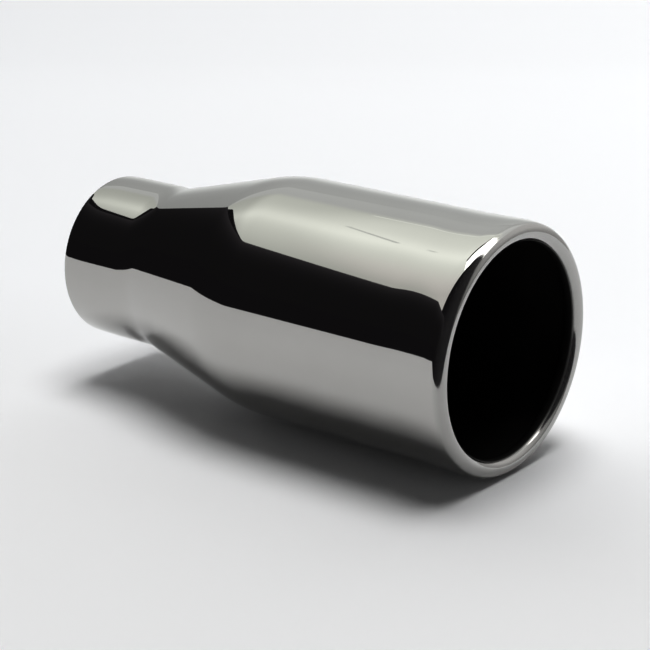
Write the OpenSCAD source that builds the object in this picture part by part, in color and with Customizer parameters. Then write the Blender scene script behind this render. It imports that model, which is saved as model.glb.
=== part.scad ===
// Exhaust tip: one steel tube, drawn down to a neck at the inlet and rolled in at the outlet.
// The tube lies along +X. The origin is the centre of the inlet's cut end, and all sizes are mm.

/* [Body] */
// Outside diameter of the body and of its rolled lip
outlet_d = 76.2; // [66:0.1:102]
// Length from the front of the lip back to the corner where the cone starts
body_len = 87; // [50:1:150]
// Thickness of the sheet
wall = 1; // [0.8:0.1:1.5]

/* [Rolled lip] */
// Diameter of the roll, over the outside of the curled sheet
roll_d = 5.6; // [4:0.1:9]
// Angle that the sheet curls through, from the body wall to its hidden cut edge
roll_turn = 270; // [180:5:290]

/* [Cone] */
// Length between the two corners of the cone, as if they were sharp
cone_len = 44; // [35:1:90]
// Radius of the soft bend from the cone to the body, on the outside
shoulder_r = 60; // [20:1:80]
// Radius of the hollow bend from the neck to the cone, on the outside
waist_r = 30; // [10:1:50]

/* [Neck] */
// Bore of the neck, which slides over the tail pipe
inlet_bore_d = 51; // [40:0.1:60]
// Length of the neck from its cut end to the corner with the cone
neck_len = 27; // [22:1:70]
// Bevel that takes the burr off both edges of the cut end
edge_break = 0.25; // [0.1:0.05:0.35]

/* [Hidden] */
$fn = 180;

outlet_r = outlet_d / 2;
neck_r = inlet_bore_d / 2 + wall;
roll_r = roll_d / 2;
shoulder_z = neck_len + cone_len;
roll_z = shoulder_z + body_len - roll_r;

// Half angle of the cone. A corner of this angle moves by corner_shift for each mm of inset,
// and a bend of radius r starts r * corner_shift away from its corner.
cone_angle = atan2(outlet_r - neck_r, cone_len);
corner_shift = tan(cone_angle / 2);

// Each bend is this much fuller than a tangent arc, so that it always meets the straight walls
bend_overlap = 0.0005;

// Points of the section are [distance from the axis, distance from the inlet]
function on_circle(centre, radius, angle) = centre + radius * [cos(angle), sin(angle)];

// All that lies inside the tube's outer face, or inside its bore when inset by the wall
module filled_section(inset, bevel) {
    neck = neck_r - inset;
    body = outlet_r - inset;
    waist_bend = waist_r + inset;
    waist_centre = [neck_r + waist_r, neck_len - waist_r * corner_shift];
    shoulder_bend = shoulder_r - inset;
    shoulder_centre = [outlet_r - shoulder_r, shoulder_z + shoulder_r * corner_shift];

    difference() {
        polygon([
            [0, 0],
            [neck - bevel, 0],
            [neck, abs(bevel)],
            [neck, waist_centre[1]],
            on_circle(waist_centre, waist_bend, 180 - cone_angle),
            on_circle(shoulder_centre, shoulder_bend, -cone_angle),
            [body, shoulder_centre[1]],
            [body, roll_z],
            [0, roll_z]
        ]);
        translate(waist_centre)
            circle(waist_bend + bend_overlap);
    }
    intersection() {
        translate(shoulder_centre)
            circle(shoulder_bend + bend_overlap);
        translate([0, neck_len])
            square([body, shoulder_centre[1] - neck_len]);
    }
}

// The lip: a ring of sheet, open where the curl ends inside the tube
module roll_section() {
    centre = [outlet_r - roll_r, roll_z];
    steps = ceil(roll_turn / 60);
    intersection() {
        translate(centre) difference() {
            circle(roll_r);
            circle(roll_r - wall);
        }
        polygon([
            centre,
            for (i = [0:steps]) on_circle(centre, roll_d, roll_turn * i / steps)
        ]);
    }
}

// The sheet cut along the tube, on one side of the axis
module sheet_section() {
    difference() {
        filled_section(0, edge_break);
        filled_section(wall, -edge_break);
    }
    roll_section();
}

module tip_shell() {
    color("silver")
        rotate([0, 90, 0])
            rotate_extrude()
                sheet_section();
}

tip_shell();
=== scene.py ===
# Looks of the exhaust tip: a mirror-polished steel tube with a rolled lip, in a light tent on a pale floor.
# All sizes are metres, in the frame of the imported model: +X from the inlet to the outlet, +Z up.
import math

import bmesh
import bpy
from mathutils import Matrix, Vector, noise


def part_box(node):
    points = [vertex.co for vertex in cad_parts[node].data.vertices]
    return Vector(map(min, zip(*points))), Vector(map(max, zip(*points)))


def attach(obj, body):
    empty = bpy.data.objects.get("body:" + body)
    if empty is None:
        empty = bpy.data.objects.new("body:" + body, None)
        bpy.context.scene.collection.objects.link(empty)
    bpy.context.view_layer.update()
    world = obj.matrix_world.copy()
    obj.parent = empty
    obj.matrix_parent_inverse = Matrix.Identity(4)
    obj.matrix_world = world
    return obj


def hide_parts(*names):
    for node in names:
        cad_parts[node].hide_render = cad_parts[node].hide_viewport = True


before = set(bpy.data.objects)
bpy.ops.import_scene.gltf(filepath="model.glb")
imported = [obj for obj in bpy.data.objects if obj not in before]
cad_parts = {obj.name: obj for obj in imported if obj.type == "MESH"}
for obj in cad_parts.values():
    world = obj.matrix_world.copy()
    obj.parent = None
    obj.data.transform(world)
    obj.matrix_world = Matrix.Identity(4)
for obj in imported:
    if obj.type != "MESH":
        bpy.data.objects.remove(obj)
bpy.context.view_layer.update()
tip_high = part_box("tip_shell")[1]

# Sizes of the sheet, as in the part's source
MM = 0.001
length = tip_high.x
outlet_r = tip_high.z
wall = 1.0 * MM
roll_r = 2.8 * MM
roll_turn = math.radians(270)
neck_r = 26.5 * MM
neck_len = 27 * MM
cone_len = 44 * MM
waist_r = 30 * MM
shoulder_r = 60 * MM
edge_break = 0.25 * MM
cone_angle = math.atan2(outlet_r - neck_r, cone_len)

# Small marks that forming leaves in the sheet: the neck's end is drawn in, the wall flares a little before
# the lip and bends in slowly before it curls, the lip stands further out, and the whole sheet has a ripple
end_draw = 0.22 * MM
end_draw_len = 9 * MM
flare = 0.3 * MM
flare_len = 16 * MM
lead_angle = math.radians(9.5)
lead_r = 22 * MM
lip_growth = 0.35 * MM
ripple = 0.012 * MM
ripple_size = 24 * MM

# Where the polishing wheel reached, by the angle round the lip's roll
lip_dull = 0.15
lip_dull_from = math.radians(40)
polish_fades_at = math.radians(143)
polish_gone_at = math.radians(163)
# Past this angle a point is on the wall, just before the roll starts
roll_not_begun = math.radians(300)
cut_edge_polish = 0.6

# Mesh density, and how close two points are when they count as one
AROUND = 256
STEP = 1.2 * MM
SAME = 1e-7

# The tip lies on its flare
floor_z = -outlet_r - flare


# Profile of the sheet, as points (x, radius)


def arc(centre, radius, start, end, step):
    """Points of an arc, by angle from the outward radial direction towards +X, in radians."""
    count = max(2, math.ceil(abs(end - start) / step))
    points = []
    for i in range(count + 1):
        angle = start + (end - start) * i / count
        points.append((centre[0] + radius * math.sin(angle), centre[1] + radius * math.cos(angle)))
    return points


def straight(start, end, step):
    """Points along a straight line, both ends included."""
    count = max(1, math.ceil(math.dist(start, end) / step))
    return [
        (start[0] + (end[0] - start[0]) * i / count, start[1] + (end[1] - start[1]) * i / count)
        for i in range(count + 1)
    ]


def join(*parts):
    """One list of points from several that meet end to end, each shared point once."""
    points = []
    for part in parts:
        for point in part:
            if not points or math.dist(point, points[-1]) > SAME:
                points.append(point)
    return points


def tube_wall(inset, step):
    """Neck, waist bend, cone, shoulder bend and body, from the cut end to the start of the lip."""
    shift = math.tan(cone_angle / 2)
    waist_centre = (neck_len - waist_r * shift, neck_r + waist_r)
    shoulder_centre = (neck_len + cone_len + shoulder_r * shift, outlet_r - shoulder_r)
    waist = arc(waist_centre, waist_r + inset, math.pi, math.pi - cone_angle, math.radians(1.2))
    shoulder = arc(shoulder_centre, shoulder_r - inset, -cone_angle, 0, math.radians(0.9))
    neck = straight((edge_break, neck_r - inset), waist[0], step)
    cone = straight(waist[-1], shoulder[0], step)
    body = straight(shoulder[-1], (lead_start, outlet_r - inset), step)
    return join(neck, waist, cone, shoulder, body)


# The lip starts with a slow lead-in bend and then rolls tightly
lead_drop = lead_r * (1 - math.cos(lead_angle))
roll_centre_x = length + lip_growth - roll_r
lead_start = roll_centre_x + roll_r * math.sin(lead_angle) - lead_r * math.sin(lead_angle)
roll_centre = (roll_centre_x, outlet_r - lead_drop - roll_r * math.cos(lead_angle))


def lip(inset, step):
    """Lead-in bend and roll, from the body wall to the sheet's hidden edge."""
    lead = arc((lead_start, outlet_r - lead_r), lead_r - inset, 0, lead_angle, math.radians(1))
    roll = arc(roll_centre, roll_r - inset, lead_angle, roll_turn, step)
    return join(lead, roll)


def drawn_in(x):
    """How far the neck's end is drawn in at x, a slow curve that dies out towards the cone."""
    if x > end_draw_len:
        return 0
    return end_draw * (1 - math.sin(math.pi / 2 * x / end_draw_len)) ** 1.5


def flared(x):
    """How far the wall and the lip stand out at x, as rolling the lip pushes the wall out before it."""
    share = min(1, max(0, (x - lead_start) / flare_len + 1))
    return flare * (1 - math.cos(math.pi * share)) / 2


def cut_edge():
    """The cut end, from the bore to the outside, with both edges broken."""
    inner = neck_r - wall
    turn = math.radians(18)
    outer_round = arc((edge_break, neck_r - edge_break), edge_break, -math.pi / 2, 0, turn)
    inner_round = arc((edge_break, inner + edge_break), edge_break, math.pi, math.pi * 1.5, turn)
    return join(inner_round, outer_round)


def polish_at(x, r):
    """How well the wheel reached the outside: 1 on the wall, less on the lip, 0 where it curls away."""
    turn = math.atan2(x - roll_centre[0], r - roll_centre[1]) % math.tau
    if x < lead_start or turn > roll_not_begun:
        return 1
    lip_share = min(1, turn / lip_dull_from)
    hidden = min(1, max(0, (turn - polish_fades_at) / (polish_gone_at - polish_fades_at)))
    return (1 - lip_dull * lip_share) * (1 - hidden)


def section():
    """The closed section as points (x, radius, polish): along the wall, round the lip and back inside."""
    outside = join(tube_wall(0, STEP), lip(0, math.radians(4)))
    inside = join(tube_wall(wall, 2.5 * STEP), lip(wall, math.radians(9)))[::-1]
    outline = [(x, r, polish_at(x, r)) for x, r in outside]
    outline += [(x, r, 0) for x, r in inside]
    outline += [(x, r, cut_edge_polish) for x, r in cut_edge()]
    points = []
    for x, r, shine in outline:
        r += flared(x) - drawn_in(x)
        if not points or math.dist((x, r), points[-1][:2]) > SAME:
            points.append((x, r, shine))
    while math.dist(points[0][:2], points[-1][:2]) < SAME:
        points.pop()
    return points


def build_shell():
    points = section()
    mesh = bpy.data.meshes.new("polished_tip")
    vertices = []
    shine = []
    for x, r, polish in points:
        for k in range(AROUND):
            angle = math.tau * k / AROUND
            y, z = math.cos(angle), math.sin(angle)
            wave = noise.noise(Vector((x, r * y, r * z)) / ripple_size) * ripple
            vertices.append((x, (r + wave) * y, (r + wave) * z))
            shine.append(polish)
    faces = []
    count = len(points)
    for i in range(count):
        j = (i + 1) % count
        for k in range(AROUND):
            n = (k + 1) % AROUND
            faces.append((i * AROUND + k, j * AROUND + k, j * AROUND + n, i * AROUND + n))
    mesh.from_pydata(vertices, [], faces)
    mesh.polygons.foreach_set("use_smooth", [True] * len(faces))
    mesh.attributes.new("polish", "FLOAT", "POINT").data.foreach_set("value", shine)
    mesh.update()
    tidy = bmesh.new()
    tidy.from_mesh(mesh)
    bmesh.ops.recalc_face_normals(tidy, faces=tidy.faces)
    tidy.to_mesh(mesh)
    tidy.free()
    shell = bpy.data.objects.new("polished_tip", mesh)
    bpy.context.scene.collection.objects.link(shell)
    return shell


# Materials. The wheel left the steel hazy in places; inside it is dark, rough scale
HAZE_SCALE = 55
GRAIN_SCALE = 140
LINE_STRETCH = (9000, 60, 60)
LINE_DEPTH = 0.0002 * MM
SCALE_DEPTH = 0.05 * MM


def new_material(name):
    material = bpy.data.materials.new(name)
    material.use_nodes = True
    nodes = material.node_tree.nodes
    return material, nodes, material.node_tree.links, nodes["Principled BSDF"]


def blend(nodes, links, kind, factor, first, second):
    """A Mix node from first to second; each is a number, a colour or a socket."""
    node = nodes.new("ShaderNodeMix")
    node.data_type = kind
    slots = {"FLOAT": (2, 3, 0), "RGBA": (6, 7, 2)}[kind]
    links.new(factor, node.inputs[0])
    for slot, value in zip(slots, (first, second)):
        if isinstance(value, bpy.types.NodeSocket):
            links.new(value, node.inputs[slot])
        else:
            node.inputs[slot].default_value = value
    return node.outputs[slots[2]]


def steel():
    """Stainless sheet: mirror-polished where the polish attribute is 1, dark scale where it is 0."""
    material, nodes, links, shader = new_material("polished_steel")
    place = nodes.new("ShaderNodeTexCoord").outputs["Object"]
    polish = nodes.new("ShaderNodeAttribute")
    polish.attribute_name = "polish"
    polish = polish.outputs["Fac"]

    haze = nodes.new("ShaderNodeTexNoise")
    haze.inputs["Scale"].default_value = HAZE_SCALE
    haze.inputs["Detail"].default_value = 4
    links.new(place, haze.inputs["Vector"])
    haze = haze.outputs["Fac"]
    grain = nodes.new("ShaderNodeTexNoise")
    grain.inputs["Scale"].default_value = GRAIN_SCALE
    grain.inputs["Detail"].default_value = 6
    links.new(place, grain.inputs["Vector"])
    grain = grain.outputs["Fac"]

    bright = blend(nodes, links, "RGBA", haze, (0.555, 0.55, 0.537, 1), (0.585, 0.58, 0.567, 1))
    dark = blend(nodes, links, "RGBA", grain, (0.012, 0.011, 0.011, 1), (0.03, 0.028, 0.027, 1))
    links.new(blend(nodes, links, "RGBA", polish, dark, bright), shader.inputs["Base Color"])
    mirror_rough = blend(nodes, links, "FLOAT", haze, 0.015, 0.05)
    scale_rough = blend(nodes, links, "FLOAT", grain, 0.5, 0.75)
    links.new(blend(nodes, links, "FLOAT", polish, scale_rough, mirror_rough), shader.inputs["Roughness"])
    links.new(blend(nodes, links, "FLOAT", polish, 0.4, 1.0), shader.inputs["Metallic"])

    # Fine polishing lines run round the tube, so the noise is stretched across x
    stretch = nodes.new("ShaderNodeMapping")
    stretch.inputs["Scale"].default_value = LINE_STRETCH
    links.new(place, stretch.inputs["Vector"])
    lines = nodes.new("ShaderNodeTexNoise")
    lines.inputs["Scale"].default_value = 1
    lines.inputs["Detail"].default_value = 2
    links.new(stretch.outputs["Vector"], lines.inputs["Vector"])
    relief = blend(nodes, links, "FLOAT", polish, grain, lines.outputs["Fac"])
    depth = blend(nodes, links, "FLOAT", polish, SCALE_DEPTH, LINE_DEPTH)
    bump = nodes.new("ShaderNodeBump")
    bump.inputs["Strength"].default_value = 1
    links.new(depth, bump.inputs["Distance"])
    links.new(relief, bump.inputs["Height"])
    links.new(bump.outputs["Normal"], shader.inputs["Normal"])
    return material


shell = build_shell()
shell.data.materials.append(steel())
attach(shell, "root")
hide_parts("tip_shell")


# The studio. The tent stands square to the camera.

camera_place = (0.46174, -0.46835, 0.19767)
camera_azimuth = math.radians(38.63)
camera_elevation = math.radians(18.81)
camera_sensor = 36
camera_lens = 112.97
view_gamma = 0.65
floor_half = 6.0
room_half = 4.0
away = Vector((-math.sin(camera_azimuth), math.cos(camera_azimuth), 0))
right = Vector((math.cos(camera_azimuth), math.sin(camera_azimuth), 0))
middle = Vector((length / 2, 0, 0))


def plan(side, depth, height):
    """A point by its distance right of the tip's middle, away from the camera, and above the axis."""
    return middle + right * side + away * depth + Vector((0, 0, height))


def sheet_of(name, corners, material):
    mesh = bpy.data.meshes.new(name)
    mesh.from_pydata([tuple(c) for c in corners], [], [tuple(range(len(corners)))])
    mesh.materials.append(material)
    piece = bpy.data.objects.new(name, mesh)
    bpy.context.scene.collection.objects.link(piece)
    return piece


def only_in_mirror(piece):
    """A reflector that neither the camera nor the light on the floor meets."""
    piece.visible_camera = False
    piece.visible_diffuse = False
    piece.visible_shadow = False
    return piece


def floor_paper_painted_falloff():
    """Matt paper with painted light falloff: a little greyer to the front and the left, where less light
    falls, and paler to the back and the right.
    """
    material, nodes, links, shader = new_material("floor_paper_painted_falloff")
    shader.inputs["Roughness"].default_value = 0.9
    shader.inputs["Specular IOR Level"].default_value = 0.1
    place = nodes.new("ShaderNodeTexCoord").outputs["Object"]

    def share_along(direction, start, end):
        """0 at start and 1 at end, in metres from the tip's middle along a direction."""
        along = nodes.new("ShaderNodeVectorMath")
        along.operation = "DOT_PRODUCT"
        along.inputs[1].default_value = direction
        links.new(place, along.inputs[0])
        spread = nodes.new("ShaderNodeMapRange")
        spread.inputs["From Min"].default_value = middle.dot(direction) + start
        spread.inputs["From Max"].default_value = middle.dot(direction) + end
        links.new(along.outputs["Value"], spread.inputs["Value"])
        return spread.outputs["Result"]

    across = share_along(right, -0.25, 0.2)
    # Painted light falloff: these tones make the paper greyer near the front and the left and paler at the
    # back and the right.
    near = blend(nodes, links, "RGBA", across, (0.81, 0.811, 0.813, 1), (0.85, 0.851, 0.853, 1))
    far = blend(nodes, links, "RGBA", across, (0.855, 0.86, 0.87, 1), (0.95, 0.955, 0.965, 1))
    rise = share_along(away + right * 0.5, -0.08, 0.09)
    links.new(blend(nodes, links, "RGBA", rise, near, far), shader.inputs["Base Color"])
    return material


def even_light(name, colour, level):
    """Light of one level from a whole surface."""
    material = bpy.data.materials.new(name)
    material.use_nodes = True
    nodes, links = material.node_tree.nodes, material.node_tree.links
    nodes.clear()
    output = nodes.new("ShaderNodeOutputMaterial")
    light = nodes.new("ShaderNodeEmission")
    light.inputs["Color"].default_value = (*colour, 1)
    light.inputs["Strength"].default_value = level
    links.new(light.outputs["Emission"], output.inputs["Surface"])
    return material


def cloth_light():
    """Light from cloth, whose level and tint at each point are in the `glow` attribute."""
    material = even_light("lit_cloth", (1, 1, 1), 1)
    nodes, links = material.node_tree.nodes, material.node_tree.links
    level = nodes.new("ShaderNodeAttribute")
    level.attribute_name = "glow"
    links.new(level.outputs["Color"], nodes["Emission"].inputs["Color"])
    return material


def build_floor():
    half = floor_half
    corners = [
        Vector((x * half, y * half, floor_z)) for x, y in ((-1, -1), (1, -1), (1, 1), (-1, 1))
    ]
    sheet_of("floor", corners, floor_paper_painted_falloff())


# The tent, in metres from the tip's middle: to the right, away from the camera, and above the axis
tent_height = 0.35
tent_left = -0.357
tent_right = 0.42
tent_back = 0.55
tent_side_front = -0.25
# The tent's mouth: its front edge runs in from the left corner to over the lip, and out again to the right
mouth_left = (tent_left, -0.242)
mouth_inner = (-0.058, -0.038)
mouth_middle = (0.031, -0.044)
mouth_right = (0.5, -0.2)
# The top's left edge runs in by a soft curve towards the back, where the cloth is pulled in
edge_pull = 0.038
edge_from = -0.02
edge_full = 0.38
edge_back_from = 0.39
edge_to = 0.5
edge_steps = 26
# How far pieces lie below the tent's top; the first is also the height over the floor of the dark sheet
# before the tent, which paints a dark reflection in the steel.
cloth_gap = 0.001
lamp_below_top = 0.004
rod_below_top = 0.008

warm_white = (0.98, 1.0, 0.945)
cool_white = (0.985, 1.0, 0.99)
grey_white = (1.0, 0.995, 0.985)
black_cloth = (1, 0.94, 1)
black_room = (0.98, 0.9, 1)
black_level = 0.033

# Light of the top: a level over the tip, its falls per metre to the front and back, and a brighter crown
top_level = 1.36
front_fall = 1.72
back_fall = 0.95
crown_gain = 0.13
crown_y = 0.005
crown_width = 0.05
behind_level = 0.87
pink_shift = 0.02


def smooth(value, start, end):
    """A soft step: 0 at start, 1 at end."""
    share = min(1, max(0, (value - start) / (end - start)))
    return share * share * (3 - 2 * share)


def tinted(colour, level):
    return tuple(level * part for part in colour)


def top_light(point):
    """The top cloth is brightest along a line over the tip and falls off to the mouth and to a seam."""
    x, y = point.x, point.y
    if y < 0:
        level = top_level + front_fall * max(y, -0.25)
    else:
        level = top_level - back_fall * min(y, 0.2)
    level += crown_gain * math.exp(-(((y - crown_y) / crown_width) ** 2))
    level *= 1 - 0.16 * smooth(-x, 0.115, 0.18) * smooth(y, -0.08, 0.15)
    left_loss = 0.1 * smooth(-x, 0.1, 0.17) * smooth(-y, -0.05, 0.03)
    far_left_loss = 0.15 * smooth(-x, 0.22, 0.32)
    level *= 1 - left_loss - far_left_loss
    behind = behind_level + 0.28 * smooth(x, 0, 0.15) - 0.07 * smooth(y, 0.35, 0.55)
    seam = smooth(y, 0.185, 0.25)
    warm_part = tinted(warm_white, level * (1 - seam))
    cool_part = tinted(cool_white, behind * seam)
    red, green, blue = (warm + cool for warm, cool in zip(warm_part, cool_part))
    pink = pink_shift * smooth(x, -0.2, -0.1) * smooth(-y, 0.05, 0.2)
    return (red * (1 + pink), green * (1 - pink), blue)


def back_light(point):
    """The back cloth is lit more to the right and near the floor."""
    side = (point - middle).dot(right)
    level = 0.73 + 0.4 * max(-0.35, min(side, 0.3))
    level *= 1 + 0.1 * smooth(point.z, 0.2, 0.35)
    level *= 1 + 0.28 * smooth(-point.z, -0.16, -0.03)
    return tinted(cool_white, level)


def side_light(point):
    """The cloth on the right is brighter up and to the back."""
    depth = (point - middle).dot(away)
    level = 0.42 + 0.43 * smooth(depth, -0.3, 0.1)
    level *= 0.75 + 0.4 * smooth(point.z, 0.0, 0.15)
    return tinted(grey_white, level)


def dark_light(point):
    """Black cloth that catches a little light just below the tent's top."""
    rise = max(0, point.z) / tent_height
    return tinted(black_cloth, 0.034 + 0.07 * rise**8)


def cloth(name, corners, light_at, step=0.02):
    """Four corners filled with a grid, which holds the light of the cloth at each point."""
    origin, across_end, _, up_end = corners
    across, rise = across_end - origin, up_end - origin
    columns = math.ceil(across.length / step)
    rows = math.ceil(rise.length / step)
    points = []
    for j in range(rows + 1):
        for i in range(columns + 1):
            points.append(origin + across * (i / columns) + rise * (j / rows))
    faces = []
    for j in range(rows):
        for i in range(columns):
            first = j * (columns + 1) + i
            faces.append((first, first + 1, first + columns + 2, first + columns + 1))
    mesh = bpy.data.meshes.new(name)
    mesh.from_pydata([tuple(point) for point in points], [], faces)
    levels = []
    for point in points:
        levels.extend((*light_at(point), 1))
    mesh.attributes.new("glow", "FLOAT_COLOR", "POINT").data.foreach_set("color", levels)
    mesh.materials.append(lit_cloth)
    piece = bpy.data.objects.new(name, mesh)
    bpy.context.scene.collection.objects.link(piece)
    return only_in_mirror(piece)


def panel(name, outline, height, material):
    only_in_mirror(sheet_of(name, [plan(side, depth, height) for side, depth in outline], material))


def top_strip(name, outline, material):
    """A narrow strip just below the tent's top, by its x and y in the model's frame."""
    corners = [Vector((x, y, tent_height - cloth_gap)) for x, y in outline]
    only_in_mirror(sheet_of(name, corners, material))


def tent_wall(name, start, end, foot_z, light_at):
    foot = [plan(*start, foot_z), plan(*end, foot_z)]
    head = [plan(*end, tent_height), plan(*start, tent_height)]
    cloth(name, foot + head, light_at)


def build_tent():
    front, far_right = -0.3, 0.5
    corners = ((tent_left, front), (far_right, front), (far_right, tent_back), (tent_left, tent_back))
    cloth("tent_top", [plan(side, depth, tent_height) for side, depth in corners], top_light, 0.01)
    tent_wall("tent_back", (tent_left, tent_back), (tent_right, tent_back), floor_z, back_light)
    tent_wall("tent_side", (tent_right, tent_back), (tent_right, tent_side_front), floor_z, side_light)
    tent_wall("tent_left", (tent_left, -0.9), (tent_left, tent_back), 0.1, dark_light)

    dark_room = even_light("dark_room", black_room, black_level)
    cover = [mouth_left, mouth_inner, mouth_middle, mouth_right]
    cover += [(0.7, -0.2), (0.7, -0.5), (tent_left, -0.5)]
    panel("tent_mouth", cover, tent_height - cloth_gap, dark_room)
    outer = tent_left - 0.01
    edge = [(outer, edge_to), (outer, edge_from)]
    for i in range(edge_steps + 1):
        depth = edge_from + (edge_to - edge_from) * i / edge_steps
        pulled = smooth(depth, edge_from, edge_full) * (1 - smooth(depth, edge_back_from, edge_to))
        edge.append((tent_left + edge_pull * pulled, depth))
    panel("tent_edge", edge, tent_height - cloth_gap, dark_room)

    seam_light = even_light("lit_seam", (0.98, 1.0, 0.95), 1.36)
    top_strip("tent_seam", ((-0.155, 0.196), (0.2, 0.21), (0.2, 0.226), (-0.155, 0.202)), seam_light)
    fold_light = even_light("lit_fold", (0.98, 1.0, 0.96), 1.0)
    top_strip("tent_fold", ((-0.127, 0.058), (-0.09, 0.02), (-0.092, 0.013), (-0.128, 0.052)), fold_light)

    lamp = even_light("lamp_tube", (1.0, 1.0, 0.98), 3)
    lamp_outline = [
        (-0.075, -0.047),
        mouth_inner,
        mouth_middle,
        (0.5, -0.19),
        (0.5, -0.06),
        (0.25, 0.02),
        (0.13, 0.1),
        (0.075, 0.16),
        (-0.055, 0.03),
    ]
    panel("lamp", lamp_outline, tent_height - lamp_below_top, lamp)
    rod_outline = [(-0.062, 0.024), (-0.054, 0.016), (0.083, 0.158), (0.075, 0.166)]
    panel("lamp_rod", rod_outline, tent_height - rod_below_top, dark_room)

    # Painted dark reflection: a dark sheet just over the floor before the tent, as far as the room's walls,
    # which only the steel sees; the camera sees the pale floor there.
    front_outline = [(-6.1, -3.99), (-0.1, -0.178), (0.5, -0.178), (6.5, -1.44), (6.5, -7.0), (-6.1, -7.0)]
    panel("floor_front_painted_reflection", front_outline, floor_z + cloth_gap, dark_room)


def build_room():
    """A dark room round the tent, which only the polished steel sees."""
    half = room_half
    dark = even_light("room_wall", black_room, black_level)
    ring = [Vector((x * half, y * half, 0)) for x, y in ((-1, -1), (1, -1), (1, 1), (-1, 1))]
    low = Vector((0, 0, floor_z))
    top = Vector((0, 0, half))
    for i in range(4):
        start, end = ring[i], ring[(i + 1) % 4]
        only_in_mirror(sheet_of(f"room_{i}", [start + low, end + low, end + top, start + top], dark))
    only_in_mirror(sheet_of("room_top", [corner + top for corner in ring], dark))


def soft_sun(name, lean_x, lean_y, width, energy):
    """A far round light that leans towards +X and +Y and looks this wide, all in degrees."""
    lean_x, lean_y = math.radians(lean_x), math.radians(lean_y)
    lean = math.hypot(lean_x, lean_y)
    towards = math.atan2(lean_y, lean_x)
    lamp = bpy.data.lights.new(name, "SUN")
    lamp.energy = energy
    lamp.angle = math.radians(width)
    piece = bpy.data.objects.new(name, lamp)
    flat = math.sin(lean)
    source = Vector((flat * math.cos(towards), flat * math.sin(towards), math.cos(lean)))
    piece.rotation_euler = source.to_track_quat("Z", "Y").to_euler()
    piece.visible_glossy = False
    bpy.context.scene.collection.objects.link(piece)


def build_light():
    """A soft light over the tip, and a weaker, wider one from behind on the neck's side."""
    soft_sun("key_light", lean_x=1, lean_y=4.5, width=36, energy=2.2)
    soft_sun("back_light", lean_x=-45, lean_y=38.8, width=91, energy=1.35)


def build_world():
    """A pale horizon and a dim sky, which light the floor. The steel mirrors the tent and not the sky."""
    world = bpy.data.worlds.new("sky")
    bpy.context.scene.world = world
    world.use_nodes = True
    nodes, links = world.node_tree.nodes, world.node_tree.links
    nodes.clear()
    output = nodes.new("ShaderNodeOutputWorld")
    back = nodes.new("ShaderNodeBackground")
    place = nodes.new("ShaderNodeTexCoord")
    split = nodes.new("ShaderNodeSeparateXYZ")
    links.new(place.outputs["Generated"], split.inputs["Vector"])
    rise = nodes.new("ShaderNodeMapRange")
    rise.inputs["From Min"].default_value = 0.16
    rise.inputs["From Max"].default_value = 0.35
    links.new(split.outputs["Z"], rise.inputs["Value"])
    tone = blend(
        nodes, links, "RGBA", rise.outputs["Result"], (0.93, 0.935, 0.95, 1), (0.05, 0.05, 0.05, 1)
    )
    links.new(tone, back.inputs["Color"])
    links.new(back.outputs["Background"], output.inputs["Surface"])
    world.cycles_visibility.glossy = False


def build_camera():
    lens = bpy.data.cameras.new("photo_camera")
    lens.sensor_width = camera_sensor
    lens.lens = camera_lens
    camera = bpy.data.objects.new("photo_camera", lens)
    camera.location = camera_place
    camera.rotation_euler = (math.pi / 2 - camera_elevation, 0, camera_azimuth)
    bpy.context.scene.collection.objects.link(camera)
    bpy.context.scene.camera = camera


build_floor()
lit_cloth = cloth_light()
build_tent()
build_room()
build_light()
build_world()
build_camera()
bpy.context.scene.view_settings.view_transform = "Standard"
bpy.context.scene.view_settings.gamma = view_gamma
